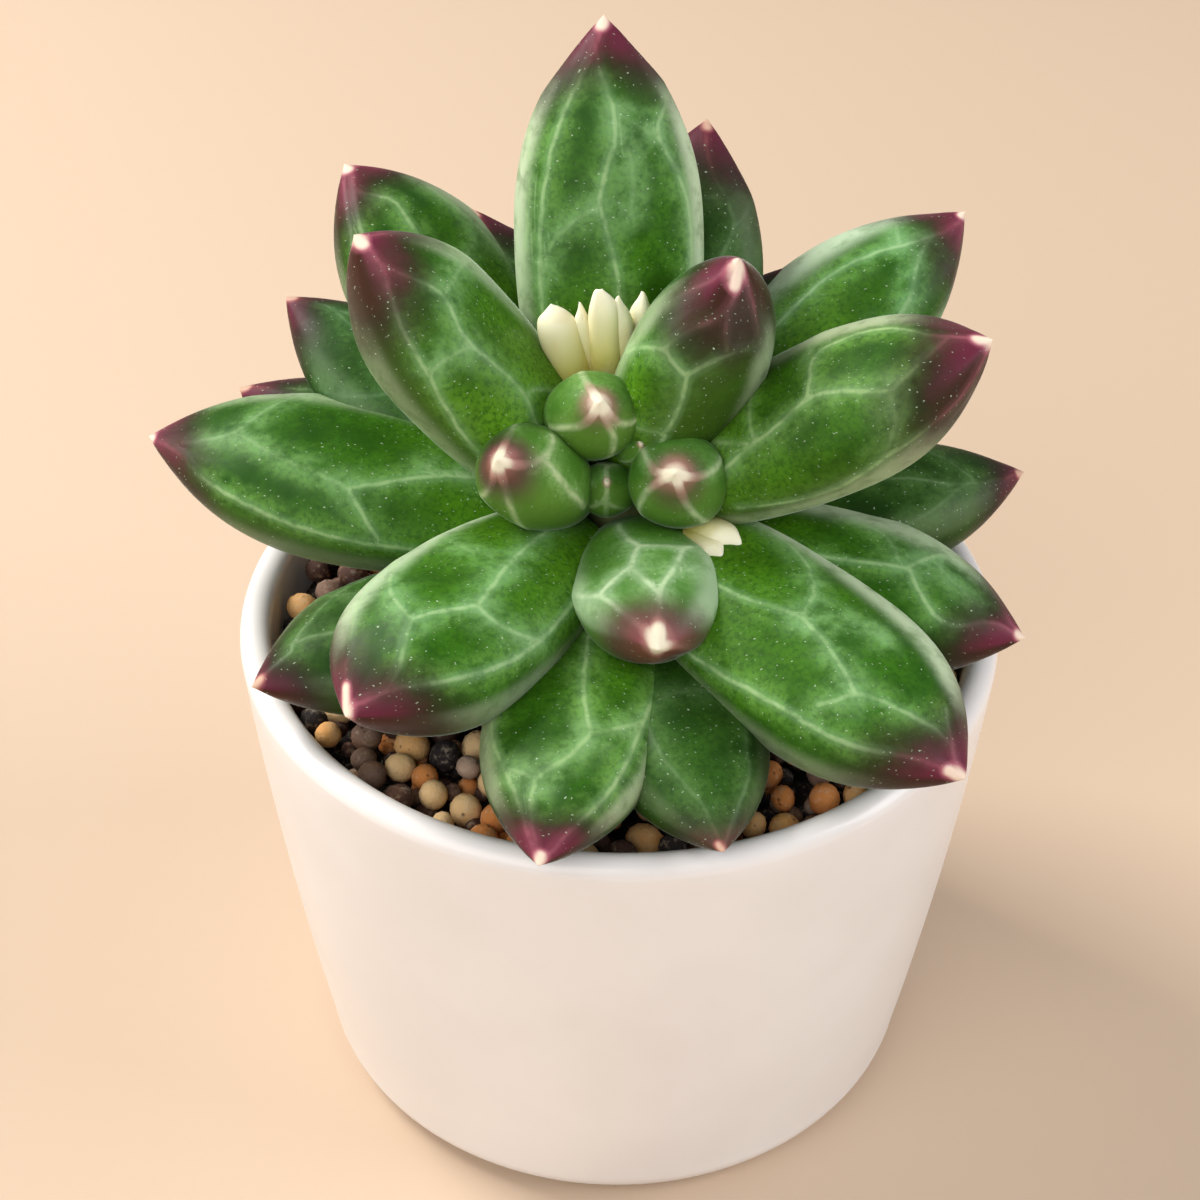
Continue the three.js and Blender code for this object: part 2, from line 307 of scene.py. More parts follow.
def gritMaterial():
    # Each ball's tone picks its clay. Pale blotches, warm stains and dark pits lie over it.
    material, tree, shader, place = newMaterial("firedClay")
    kinds = addNode(tree, "ShaderNodeValToRGB", {"Fac": attribute(tree, "tone")})
    kinds.color_ramp.interpolation = "CONSTANT"
    ramped = kinds.color_ramp.elements
    for at, _ in grit["clays"][2:]:
        ramped.new(at)
    for element, (at, colour) in zip(ramped, grit["clays"]):
        element.position = at
        element.color = colour
    clay = kinds.outputs[0]
    blotch = ramp(tree, noise(tree, place, 0.8, 4, 0.65), 0.5, 0.72)
    stain = ramp(tree, noise(tree, place, 2.6, 2), 0.5, 0.68, 0, 0.4)
    dark = mixColour(tree, 0.8, clay, grit["pit"])
    body = mixColour(tree, blotch, clay, mixColour(tree, 0.3, clay, grit["bloom"]))
    body = mixColour(tree, stain, body, grit["stain"], "MULTIPLY")
    pits = ramp(tree, cellNode(tree, place, 0.85).outputs["Distance"], 0.3, 0.14)
    pit = times(tree, pits, ramp(tree, noise(tree, place, 1.4, 2), 0.5, 0.62))
    tree.links.new(mixColour(tree, times(tree, pit, 0.8), body, dark), shader.inputs["Base Color"])
    setShader(shader, grit["finish"])
    grain = minus(tree, noise(tree, place, 0.45, 4, 0.7), times(tree, pit, 0.5))
    addBump(tree, shader, grain, 0.7, 0.25)
    return material


def makeBalls(clay):
    # Each ball: the sphere's points squashed a little along random axes and dented by three slow waves
    top, topRadius = scatterBalls(grit["triesTop"], 0, grit["ballRadius"])
    under, underRadius = scatterBalls(grit["triesUnder"], grit["layerDrop"], grit["smallRadius"])
    middle = np.concatenate([top, under])
    radius = np.concatenate([topRadius, underRadius])
    shape, quads = ballShape(grit["faceCells"])
    count = len(middle)
    turned, _ = np.linalg.qr(draw.normal(size=(count, 3, 3)))
    squash = draw.uniform(*grit["squash"], (count, 1, 3))
    phase = draw.uniform(0, 6.28, (count, 3, 1))
    wave = np.sin(grit["dentWaves"] * shape.T[None] + phase).sum(1)
    points = (shape[None] * squash) @ turned * (1 + grit["dent"] * wave[..., None])
    points = (points * radius[:, None, None] + middle[:, None]).reshape(-1, 3)
    faces = (quads[None] + np.arange(count)[:, None, None] * len(shape)).reshape(-1, 4)
    tone = draw.uniform(0, 1, count)
    tone[len(top):] *= grit["underShadeTone"]  # the small ones between are darker: painted shade in the gaps
    tone = np.repeat(tone, len(shape))
    none = np.zeros((0, 3), int)
    addPiece("clayBalls", points, faces, none, clay, [], {"tone": tone})
    print("clay balls:", count)


def makeBed(clay):
    # The dark bed under the loose balls, near black as painted shade deep in the gaps between them: a dish
    # that closes over a flat floor
    around = circle(grit["bedColumns"])
    wall = potWallAt(grit["edgeHeight"]) - pot["wall"] - grit["bedGap"][0]
    low = potWallAt(pot["floor"]) - pot["wall"] - grit["bedGap"][1]
    bottom, top = grit["bedBottom"], grit["bedTop"]
    rings = [(low * 0.5, bottom), (low, bottom)] + [(wall * part, height) for part, height in top]
    bed = [np.stack([r * np.cos(around), r * np.sin(around), np.full(len(around), z)], 1) for r, z in rings]
    bed = np.concatenate([[[0, 0, bottom]], *bed, [[0, 0, top[-1][1]]]])
    quads, triangles = closedSkin(len(rings), len(around))
    tone = np.full(len(bed), grit["bedShadeTone"])
    addPiece("darkBed", bed, quads, triangles, clay, ["grit_bed"], {"tone": tone})


fired = gritMaterial()
makeBalls(fired)
makeBed(fired)

# Facet lines: strength, haze beside the line, then points (along, around). Along is 0 at the root and 1
# at the tip. Around is in degrees: 0 the right margin, 90 the middle of the upper face, 180 the left margin.
usualLines = [
    (0.9, 0.2, ((1, 90), (0.9, 88), (0.82, 95))),
    (0.8, 0.4, ((0.82, 95), (0.7, 122), (0.55, 136), (0.35, 140), (0.12, 132))),
    (0.8, 0.4, ((0.82, 95), (0.72, 70), (0.58, 52), (0.4, 44), (0.12, 54))),
    (0.6, 0.8, ((0.7, 122), (0.62, 96), (0.5, 84), (0.3, 92), (0.1, 88))),
    (0.5, 0.7, ((0.62, 96), (0.6, 72), (0.58, 52))),
    (0.5, 0.3, ((0.7, 122), (0.76, 150), (0.82, 176))),
    (0.5, 0.3, ((0.58, 52), (0.64, 28), (0.7, 4))),
]
underLines = [
    (0.6, 0.3, ((1, -90), (0.6, -92), (0.1, -88))),
    (0.5, 0.4, ((0.9, -90), (0.7, -130), (0.4, -148), (0.1, -140))),
    (0.5, 0.4, ((0.85, -90), (0.68, -52), (0.4, -34), (0.1, -40))),
]

# Leaf sizes are in millimetres. A leaf may have its own value for any of these.
leafShape = {
    "widest": 0.52, "rootWidth": 0.5, "shoulder": 2.6, "rootRound": 0.06,  # the outline, in parts of it
    "nib": 0.35, "nibReach": 0.7,  # how much, and over what length, the tip is drawn in
    "above": 0.31, "below": 0.39,  # half thickness, in parts of the width
    "crowd": 0.45,  # how much closer the rings stand at both ends
    "ridge": 0.09, "ridgeWidth": 0.55, "dish": 0.2, "dishWidth": 2.2, "facet": 1,  # raised lines, hollows
    "liftFade": 20, "step": 0.9,  # how fast both end at the tip, and the spacing of a line's points
    "fullSize": 16,  # from this width on, a leaf's lines are full size
    "hazeWidth": 1.7, "hazeShare": 0.75, "mostHaze": 1.2,
    "rim": ((0.3, 20, 18), (0.3, 160, 18)), "rimFade": (5, 12),  # pale bloom with painted rim sheen at the margins: strength, middle and width in degrees
    "cream": (0.8, 0.85), "creamLead": 0.1, "creamFade": 1, "creamTaper": 0.55,  # length and width
    "blush": 0.18, "blushParts": (0.72, 0.25), "margin": 0.4, "flush": 1.0,  # reach from the tip, strength
    "glow": 0.3, "glowEnd": (0.8, 0.5),  # clear green near the root with painted glow of light through the leaf: strength, end and fade
    "jointShifts": (0.05, 9), "under": underLines,  # shifts of the usual lines, along and round
}

upperLeaves = [
    dict(root=(-0.5, 4, 70), turn=-175, rise=68, length=47, width=19.5, blush=0.16, cream=(0.8, 1.2),
         rim=((1.0, 11, 20), (1.0, 164, 20)), glow=0.2, lines=[
        (1, 0.1, ((1, 90), (0.96, 70), (0.92, 72))),
        (0.9, 0.35, ((0.92, 72), (0.9, 63), (0.82, 52), (0.71, 47), (0.61, 44), (0.43, 40), (0.2, 44))),
        (0.9, 0.5, ((0.92, 76), (0.8, 98), (0.66, 83), (0.62, 82), (0.53, 89), (0.44, 93), (0.2, 92))),
        (0.4, 0.9, ((0.62, 82), (0.58, 62), (0.54, 50), (0.46, 43))),
        (0.8, 0.5, ((0.86, 168), (0.78, 123), (0.73, 127), (0.66, 139), (0.52, 146), (0.25, 140))),
        (0.2, 1.0, ((0.8, 98), (0.78, 111), (0.76, 123))),
        (0.2, 1.0, ((0.8, 98), (0.68, 104), (0.6, 100))),
        (0.6, 0.2, ((0.84, 4), (0.77, 12), (0.71, 30), (0.62, 34), (0.4, 20)))]),
    dict(root=(-3, 1, 71), turn=-89, rise=53, length=37.5, width=20.5, blush=0.18, cream=(0.7, 1.2),
         shoulder=3.0, rim=((0.35, -45, 18), (0.5, 114, 16)), glow=0.9, lines=[
        (1, 0.1, ((1, 30), (0.97, 39), (0.93, 35))),
        (1, 0.25, ((0.93, 35), (0.87, 14), (0.81, 6), (0.73, 3), (0.66, -1), (0.55, -9), (0.4, -14),
                   (0.2, -10))),
        (0.9, 0.5, ((0.93, 35), (0.86, 51), (0.78, 59), (0.73, 48), (0.67, 42), (0.58, 46), (0.45, 49),
                    (0.38, 37), (0.2, 30))),
        (0.4, 1.0, ((0.7, 122), (0.76, 94), (0.78, 60))),
        (0.4, 1.0, ((0.66, 41), (0.69, 22), (0.69, 2))),
        (0.6, 0.1, ((0.45, 49), (0.4, 64), (0.3, 80))),
        (0.7, 0.1, ((1, 60), (0.96, 112), (0.9, 107), (0.78, 122), (0.6, 140), (0.3, 140)))]),
    dict(root=(1.2, 3, 72), turn=64, rise=69, length=30, width=19.5, blush=0.2, cream=(1.3, 1.2),
         shoulder=2.8, rim=((0.6, -92, 18), (0.5, 118, 20)), glow=0.9, under=[], lines=[
        (1, 0.1, ((1, 240), (0.92, 213), (0.9, 211), (0.86, 187), (0.8, 171), (0.76, 168))),
        (0.9, 0.1, ((1, 262), (0.91, 254), (0.8, 257))),
        (0.8, 0.4, ((0.8, 257), (0.81, 222), (0.76, 204), (0.72, 196))),
        (0.8, 0.1, ((0.9, 211), (0.86, 215), (0.81, 222))),
        (0.9, 0.6, ((0.6, 128), (0.71, 147), (0.76, 168), (0.74, 181), (0.72, 196))),
        (0.9, 0.5, ((0.72, 196), (0.63, 201), (0.49, 201), (0.3, 200))),
        (0.5, 0.2, ((0.8, 257), (0.74, 268), (0.66, 276), (0.5, 280))),
        (0.5, 0.1, ((0.98, 168), (0.93, 145), (0.86, 130))),
        (0.5, 0.2, ((0.49, 201), (0.46, 180), (0.44, 160)))]),
    dict(root=(3, 1, 71.5), turn=78.5, rise=34, length=39.5, width=20.5, blush=0.2, cream=(1.0, 1.2),
         shoulder=2.8, rim=((0.8, 62, 18), (0.7, -138, 20)), glow=0.35, lines=[
        (1, 0.3, ((1, 140), (0.96, 100), (0.91, 105), (0.83, 89), (0.75, 84), (0.66, 87), (0.59, 92),
                  (0.59, 112), (0.58, 125))),
        (0.9, 0.2, ((0.91, 107), (0.88, 126), (0.83, 138), (0.78, 147))),
        (1, 0.6, ((0.78, 147), (0.68, 131), (0.58, 125), (0.48, 138), (0.41, 142), (0.3, 154))),
        (0.3, 1.0, ((0.78, 147), (0.78, 167), (0.73, 191), (0.69, 197))),
        (0.9, 0.2, ((1, 204), (0.92, 212), (0.85, 202), (0.76, 199), (0.69, 197), (0.57, 205), (0.44, 201),
                    (0.3, 190))),
        (0.6, 0.1, ((0.41, 142), (0.3, 128))),
        (0.5, 0.1, ((0.42, 138), (0.41, 122), (0.42, 100))),
        (0.3, 0.9, ((0.59, 92), (0.56, 78), (0.58, 60)))]),
    dict(root=(2.5, -3, 69.5), turn=42.5, rise=-6.5, length=44, width=21.2, blush=0.15, cream=(1.2, 1.0),
         shoulder=3.0, rim=((1.0, 40, 18), (0.3, -158, 18)), glow=0.25, lines=[
        (1, 0.2, ((1, 131), (0.95, 131), (0.85, 150), (0.77, 154), (0.65, 153), (0.48, 164), (0.3, 174))),
        (0.8, 0.1, ((1, 120), (0.95, 84), (0.88, 70))),
        (0.8, 0.4, ((0.93, 88), (0.85, 105), (0.78, 112), (0.75, 118))),
        (1, 0.9, ((0.75, 118), (0.68, 110), (0.61, 105), (0.53, 102))),
        (0.9, 0.3, ((0.53, 102), (0.44, 112), (0.34, 119), (0.15, 124))),
        (0.7, 0.9, ((0.53, 102), (0.51, 87), (0.46, 76), (0.36, 61), (0.2, 50))),
        (0.7, 0.5, ((0.75, 118), (0.71, 138))),
        (0.05, 1.1, ((0.53, 96), (0.6, 84), (0.68, 78)))]),
    dict(root=(-4, -3, 69), turn=-36, rise=0.5, length=36.5, width=20.5, blush=0.17, cream=(1.8, 0.8),
         shoulder=3.0, rim=((0.4, -16, 18), (0.9, 143, 18)), glow=0.3, lines=[
        (0.8, 0.3, ((1, 108), (0.95, 120), (0.84, 125), (0.7, 135), (0.53, 142))),
        (1, 0.2, ((1, 100), (0.96, 61), (0.9, 54), (0.85, 40), (0.72, 27), (0.55, 22), (0.4, 26), (0.2, 30))),
        (0.9, 0.2, ((0.91, 57), (0.81, 80), (0.74, 87))),
        (0.7, 1.1, ((0.74, 87), (0.72, 103), (0.66, 120), (0.54, 137))),
        (1, 0.5, ((0.74, 87), (0.69, 79), (0.6, 66))),
        (0.9, 0.9, ((0.6, 66), (0.54, 69), (0.41, 75), (0.3, 77), (0.12, 80))),
        (0.8, 0.9, ((0.6, 66), (0.61, 52), (0.56, 30), (0.52, 22))),
        (0.2, 0.8, ((0.4, 128), (0.45, 96), (0.42, 76)))]),
    dict(root=(-4.5, 0, 67.5), turn=-99.5, rise=6.5, length=45.5, width=21, blush=0.16, cream=(0.5, 0.9),
         rim=((0.2, -32, 18), (0.6, 130, 18)), glow=0.1, lines=[
        (0.9, 0.2, ((1, 40), (0.9, 36), (0.85, 20), (0.71, 12), (0.54, 3), (0.37, 1), (0.2, 4))),
        (0.7, 0.4, ((1, 80), (0.95, 109), (0.85, 121), (0.79, 125))),
        (0.4, 0.9, ((0.9, 52), (0.78, 68), (0.74, 92), (0.65, 130), (0.5, 140))),
        (0.3, 0.8, ((0.78, 70), (0.66, 54), (0.54, 48), (0.49, 43))),
        (0.9, 0.5, ((0.49, 43), (0.37, 59), (0.25, 71), (0.1, 76))),
        (0.9, 0.3, ((0.49, 43), (0.44, 23), (0.41, 9))),
        (0.3, 0.6, ((0.32, 80), (0.36, 66), (0.25, 74)))]),
    dict(root=(-2, 4.5, 67), turn=-128, rise=39, length=44, width=20.5, blush=0.16, cream=(0.7, 1.2),
         shoulder=3.0, rim=((0.4, -20, 18), (0.7, 140, 20)), glow=0.7, lines=[
        (0.9, 0.1, ((1, 70), (0.95, 58), (0.91, 48), (0.85, 39), (0.7, 30), (0.5, 24), (0.2, 30))),
        (0.9, 0.5, ((0.92, 54), (0.86, 79), (0.82, 79), (0.76, 75), (0.6, 66), (0.4, 70), (0.15, 76))),
        (0.8, 0.1, ((1, 40), (0.95, 28), (0.9, 29), (0.83, 26), (0.6, 4))),
        (0.5, 0.8, ((1, 120), (0.93, 130), (0.82, 119), (0.68, 118), (0.5, 128))),
        (0.3, 0.8, ((0.68, 118), (0.64, 92), (0.6, 66)))]),
    dict(root=(2, 5, 68.5), turn=118.5, rise=30, length=44.5, width=19.5, blush=0.16, cream=(0.6, 0.9),
         rim=((1.0, 50, 26), (0.3, -155, 18)), glow=0.9, lines=[
        (0.9, 0.6, ((1, 150), (0.91, 123), (0.79, 102), (0.7, 94), (0.62, 91), (0.54, 94), (0.3, 100))),
        (0.7, 0.9, ((0.88, 118), (0.81, 129), (0.75, 147), (0.69, 153), (0.5, 150), (0.2, 140))),
        (0.9, 0.2, ((1, 150), (0.94, 170), (0.88, 180), (0.78, 204), (0.5, 210))),
        (0.4, 0.9, ((0.85, 75), (0.82, 100)))]),
    dict(root=(3.5, -0.5, 67), turn=67.5, rise=-2.5, length=39.5, width=19.5, blush=0.17, cream=(0.6, 0.8),
         rim=((0.8, 52, 20), (0.2, -150, 18)), glow=0.2, lines=[
        (0.9, 0.3, ((0.2, 118), (0.51, 111), (0.62, 104), (0.69, 100))),
        (0.9, 0.4, ((0.69, 100), (0.75, 119), (0.81, 136), (0.86, 136), (0.92, 112), (1, 112))),
        (0.8, 0.9, ((0.69, 98), (0.75, 66), (0.8, 60), (0.86, 59), (0.93, 82), (1, 90))),
        (0.5, 0.6, ((0.6, 40), (0.66, 49), (0.75, 66))),
        (0.4, 0.5, ((0.5, 70), (0.6, 76), (0.66, 96))),
        (0.2, 1.0, ((0.72, 80), (0.8, 92), (0.86, 100)))]),
    dict(root=(-0.5, -4, 64), turn=-10, rise=-4.5, length=40, width=18, blush=0.13, cream=(0.8, 0.7),
         rim=((0.6, 8, 18), (0.5, 160, 18)), glow=0.2, lines=[
        (0.8, 0.4, ((0.3, 90), (0.45, 88), (0.57, 84), (0.65, 76), (0.69, 72))),
        (0.6, 0.8, ((0.69, 72), (0.63, 49), (0.6, 41))),
        (0.9, 0.4, ((0.3, 30), (0.47, 32), (0.6, 41), (0.7, 40), (0.83, 39), (0.92, 49), (1, 53))),
        (0.7, 1.1, ((0.69, 72), (0.77, 83), (0.82, 104))),
        (0.8, 0.7, ((0.82, 104), (0.9, 113), (1, 108))),
        (0.9, 0.2, ((0.5, 150), (0.66, 147), (0.78, 136), (0.87, 123), (1, 121))),
        (0.5, 0.9, ((0.82, 104), (0.79, 133)))]),
]
lowerLeaves = [
    dict(root=(1.5, 5.5, 63), turn=162, rise=56.5, length=43, width=18.5, blush=0.2, lines=[
        (0.7, 0.6, ((1, 100), (0.89, 110), (0.82, 129), (0.76, 138), (0.71, 128), (0.5, 110), (0.2, 100))),
        (0.5, 0.8, ((0.76, 138), (0.83, 169))),
        (0.5, 0.5, ((0.82, 129), (0.8, 90), (0.7, 60), (0.4, 50)))]),
    dict(root=(-2, 6, 62), turn=-143, rise=50.5, length=36.5, width=17, blush=0.2),
    dict(root=(1, 6, 62), turn=131, rise=44.5, length=33.5, width=15.5, blush=0.16),
    dict(root=(-4, 3, 63), turn=-121, rise=25.5, length=41, width=17, blush=0.14),
    dict(root=(-4, 2, 62), turn=-110, rise=16.5, length=40.5, width=18, blush=0.22),
    dict(root=(3, 1, 62.5), turn=105.5, rise=4, length=42, width=17.5, blush=0.14, lines=[
        (0.8, 0.4, ((1, 135), (0.84, 129), (0.75, 123), (0.66, 108), (0.4, 100))),
        (0.6, 0.6, ((0.79, 127), (0.7, 143), (0.6, 152))),
        (0.5, 0.4, ((0.84, 129), (0.76, 80), (0.6, 50), (0.3, 50)))]),
    dict(root=(-4, -1, 61.5), turn=-57, rise=3, length=38, width=17, blush=0.12),
    dict(root=(1, -3.5, 62), turn=13, rise=-3, length=38, width=17, blush=0.1, cream=(0.6, 0.5),
         flush=0.6, lines=[
        (0.5, 0.5, ((0.3, 100), (0.6, 122), (0.8, 119), (0.88, 108), (1, 95))),
        (0.6, 0.3, ((0.5, 40), (0.75, 54), (0.81, 44), (0.92, 52), (1, 70))),
        (0.3, 0.9, ((0.6, 122), (0.56, 80), (0.62, 46)))]),
    dict(root=(-0.5, 6, 61), turn=-172, rise=14, length=34, width=16),
    dict(root=(1.5, 5, 60), turn=156, rise=11, length=33, width=15),
    dict(root=(-1, 6, 65), turn=180, rise=40, length=38, width=16.5),
]
centreLeaves = [
    dict(root=(-3.7, 1.5, 78.2), turn=8, rise=43.5, length=16, width=10, blush=0.12, cream=(0.0, 3.7),
         flush=0.45, margin=0.05, rim=(), under=[], lines=[
        (1, 0.2, ((1, 110), (0.93, 108), (0.84, 107), (0.6, 100))),
        (1, 0.2, ((1, 240), (0.89, 236), (0.81, 209), (0.68, 198))),
        (1, 0.2, ((1, -56), (0.86, -50), (0.82, -34), (0.76, -20))),
        (1, 0.1, ((1, -80), (0.86, -66), (0.74, -72), (0.6, -76)))]),
    dict(root=(-5, -3, 72.6), turn=-31, rise=44.5, length=18.5, width=10.6, above=0.5, blush=0.17,
         cream=(0.0, 3.1), margin=0.1, rim=(), under=[], lines=[
        (1, 0.1, ((1, 110), (0.92, 108), (0.8, 113), (0.6, 120))),
        (1, 0.2, ((1, 0), (0.93, 8), (0.84, 31), (0.72, 66))),
        (1, 0.2, ((0.84, 31), (0.77, 10), (0.61, -3), (0.4, -8))),
        (1, 0.1, ((1, 250), (0.9, 262), (0.84, 249), (0.7, 232))),
        (1, 0.2, ((1, -70), (0.88, -68), (0.8, -73), (0.45, -81)))]),
    dict(root=(6.2, -1.5, 72.4), turn=-5.5, rise=43, length=16, width=10.1, blush=0.17, cream=(0.0, 3.8),
         above=0.5, flush=0.7, margin=0.05, rim=(), under=[], lines=[
        (1, 0.2, ((1, 190), (0.92, 180), (0.85, 152), (0.7, 140))),
        (1, 0.2, ((1, 205), (0.88, 211), (0.7, 222), (0.5, 228))),
        (1, 0.2, ((1, -18), (0.94, -10), (0.87, 8), (0.7, 30))),
        (1, 0.2, ((1, -76), (0.9, -72), (0.7, -60), (0.5, -52)))]),
    dict(root=(1.5, -4.5, 70), turn=5, rise=7, length=22.5, width=15, above=0.31, below=0.39,
         blush=0.24, cream=(1.2, 1.6), facet=2, margin=0, rim=((0.8, 20, 26), (0.6, 168, 22)),
         glow=0.4, lines=[
        (1, 0.1, ((1, 85), (0.88, 85), (0.8, 85))),
        (1.3, 0.3, ((0.8, 85), (0.74, 96), (0.65, 104))),
        (1.2, 0.3, ((0.65, 104), (0.55, 100), (0.5, 95))),
        (1.1, 0.2, ((0.5, 95), (0.39, 106), (0.24, 110))),
        (1.2, 0.3, ((0.5, 95), (0.5, 65), (0.42, 44))),
        (1.3, 0.7, ((0.65, 104), (0.72, 128), (0.74, 139))),
        (1, 0.3, ((0.74, 139), (0.7, 153), (0.6, 168))),
        (1, 0.1, ((0.74, 139), (0.89, 126), (1, 100))),
        (1.2, 0.4, ((0.8, 85), (0.67, 71), (0.49, 62))),
        (0.9, 0.2, ((1, 0), (0.88, -41), (0.78, -28), (0.5, -20))),
        (0.3, 1.0, ((0.66, 60), (0.55, 40), (0.42, 30)))]),
    dict(root=(-1.4, -2, 72.3), turn=0, rise=44, length=10.5, width=6.2, blush=0.1, cream=(0.0, 0.6),
         flush=0.0, rim=()),
    dict(root=(1.2, -1.5, 77.7), turn=6, rise=39.5, length=8.5, width=4.6, blush=0.1, cream=(0.0, 0.6),
         flush=0.0, rim=()),
]


def leafOutline(leaf, s):
    # Half width along the leaf: a parabola up to the widest place, then a fuller curve down to the tip,
    # drawn in over the last bit to a small nib
    inward = np.clip((leaf["widest"] - s) / leaf["widest"], 0, 1)
    outward = np.clip((s - leaf["widest"]) / (1 - leaf["widest"]), 0, 1)
    rootRound = np.sqrt(1 - (1 - np.clip(s / leaf["rootRound"], 0, 1)) ** 2)
    before = (1 - (1 - leaf["rootWidth"]) * inward ** 2) * rootRound
    after = 1 - outward ** leaf["shoulder"]
    nib = 1 - leaf["nib"] * np.exp(-(1 - s) * leaf["length"] / leaf["nibReach"])
    return leaf["width"] / 2 * np.where(s < leaf["widest"], before, after) * nib


def leafAxes(leaf):
    # Directions along the leaf, to its side and out of its upper face, from its turn and rise
    turn, rise = math.radians(leaf["turn"]), math.radians(leaf["rise"])
    along = np.array([math.sin(turn) * math.cos(rise), -math.cos(turn) * math.cos(rise), math.sin(rise)])
    side = np.array([math.cos(turn), math.sin(turn), 0])
    return along, side, np.cross(along, side)


def leafPoints(leaf, s, around):
    # The skin: an oval section whose half width follows the outline, thicker below than above
    along, side, up = leafAxes(leaf)
    half = leafOutline(leaf, s)
    thick = 2 * half * np.where(np.sin(around) > 0, leaf["above"], leaf["below"])
    return (np.array(leaf["root"], float) + (s * leaf["length"])[..., None] * along
            + (half * np.cos(around))[..., None] * side + (thick * np.sin(around))[..., None] * up)


def linePoints(leaf, knots):
    # Cuts each corner of the path twice, lays it on the skin and spaces its points evenly
    path = np.array(knots, float)
    for _ in range(2):
        parts = np.stack([0.75 * path[:-1] + 0.25 * path[1:], 0.25 * path[:-1] + 0.75 * path[1:]], 1)
        path = np.concatenate([path[:1], parts.reshape(-1, 2), path[-1:]])
    order = np.linspace(0, len(path) - 1, 8 * len(path))
    path = np.stack([np.interp(order, np.arange(len(path)), path[:, k]) for k in range(2)], 1)
    laid = leafPoints(leaf, path[:, 0], np.radians(path[:, 1]))
    run = np.concatenate([[0], np.cumsum(np.linalg.norm(np.diff(laid, axis=0), axis=1))])
    even = np.linspace(0, run[-1], max(2, int(run[-1] / leaf["step"]) + 1))
    return np.stack([np.interp(even, run, laid[:, k]) for k in range(3)], 1)


def wayTo(points, line):
    # The shortest way from each point to the line, stretch by stretch, and its length
    shortest = np.full(len(points), 1e9)
    way = np.zeros_like(points)
    for start, end in zip(line[:-1], line[1:]):
        stretch = end - start
        share = np.clip((points - start) @ stretch / (stretch @ stretch), 0, 1)
        gap = start + share[:, None] * stretch - points
        far = np.einsum("ij,ij->i", gap, gap)
        closer = far < shortest
        shortest[closer] = far[closer]
        way[closer] = gap[closer]
    return way, np.sqrt(shortest)


def readLines(leaf, points, scale):
    # For each point: way and distance to the nearest facet line, its strength, and the haze of all of them
    near = np.full(len(points), 1e9)
    way = np.zeros_like(points)
    force = np.zeros(len(points))
    clear = np.ones(len(points))
    for strength, haze, knots in leaf["lines"] + leaf["under"]:
        oneWay, far = wayTo(points, linePoints(leaf, knots))
        veil = np.exp(-(far / (leaf["hazeWidth"] * scale)) ** 2)
        clear *= 1 - min(haze, leaf["mostHaze"]) * leaf["hazeShare"] * veil
        closer = far < near
        near[closer] = far[closer]
        way[closer] = oneWay[closer]
        force[closer] = strength
    return way, near, force, 1 - clear


def skinNormals(grid):
    # Cross product of the steps along and around, made unit long and turned outwards
    around = np.roll(grid, -1, 1) - np.roll(grid, 1, 1)
    normal = np.cross(np.gradient(grid, axis=0), around)
    normal /= np.maximum(np.linalg.norm(normal, axis=2, keepdims=True), 1e-9)
    outwards = ((grid - grid.mean(1, keepdims=True)) * normal).sum(2, keepdims=True)
    return normal * np.sign(outwards)


def variedLines(lines, shifts):
    # The usual lines with every joint moved a little, the same joint in the same way in each line
    moved = {}
    for _, _, knots in lines:
        for knot in knots:
            if knot not in moved:
                shift = draw.uniform(-1, 1, 2) * (knot[0] < 1)
                moved[knot] = (knot[0] + shifts[0] * shift[0], knot[1] + shifts[1] * shift[1])
    return [(strength, haze, [moved[knot] for knot in knots]) for strength, haze, knots in lines]


def facetLift(leaf, s, near, force, scale):
    # Raised along the facet lines by a bell curve, dished between them, and flat at the very tip
    ridge = leaf["ridge"] * force * np.exp(-(near / (leaf["ridgeWidth"] * scale)) ** 2)
    dish = leaf["dish"] * leaf["facet"] * (1 - np.exp(-(near / (leaf["dishWidth"] * scale)) ** 2))
    return (ridge - dish) * scale * np.clip((1 - s) * leaf["liftFade"], 0, 1)


def creamPatch(leaf, s, points):
    # 1 on the patch's middle and 0 at its edge: a wedge, widest at the tip, that runs in along the first
    # facet line
    length, width = leaf["cream"]
    firstLine = leaf["lines"][0][2]
    inner = (1 - (length + leaf["creamLead"]) / leaf["length"], firstLine[1][1])
    _, away = wayTo(points, linePoints(leaf, [(1, inner[1]), inner]))
    inwards = np.clip((1 - s.ravel()) * leaf["length"] / (length + leaf["creamFade"]), 0, 1)
    return 1 - away / (width * (1 - leaf["creamTaper"] * inwards))


def blushReach(leaf, around):
    # The blush reaches further in at the margins and below than in the middle of the upper face
    middle, below = leaf["blushParts"]
    downwards = np.clip(-np.sin(around), 0, 1)
    return leaf["blush"] * (middle + leaf["margin"] * np.abs(np.cos(around)) + below * downwards)


def rimBands(leaf, s, around):
    # A pale band at each margin, of the strength, middle and width given, that ends before root and tip:
    # partly the leaf's pale bloom, partly painted rim light and sheen where the margin turns from the view
    rim = np.zeros_like(s)
    for strength, middle, wide in leaf["rim"]:
        off = (np.degrees(around) - middle + 180) % 360 - 180
        rim += strength * np.exp(-(off / wide) ** 4)
    fadeIn, fadeOut = leaf["rimFade"]
    return rim * (np.clip(s * fadeIn, 0, 1) * np.clip((1 - s) * fadeOut, 0, 1))


def withEnds(values, atRoot, atTip):
    return np.concatenate([[atRoot], values.ravel(), [atTip]])


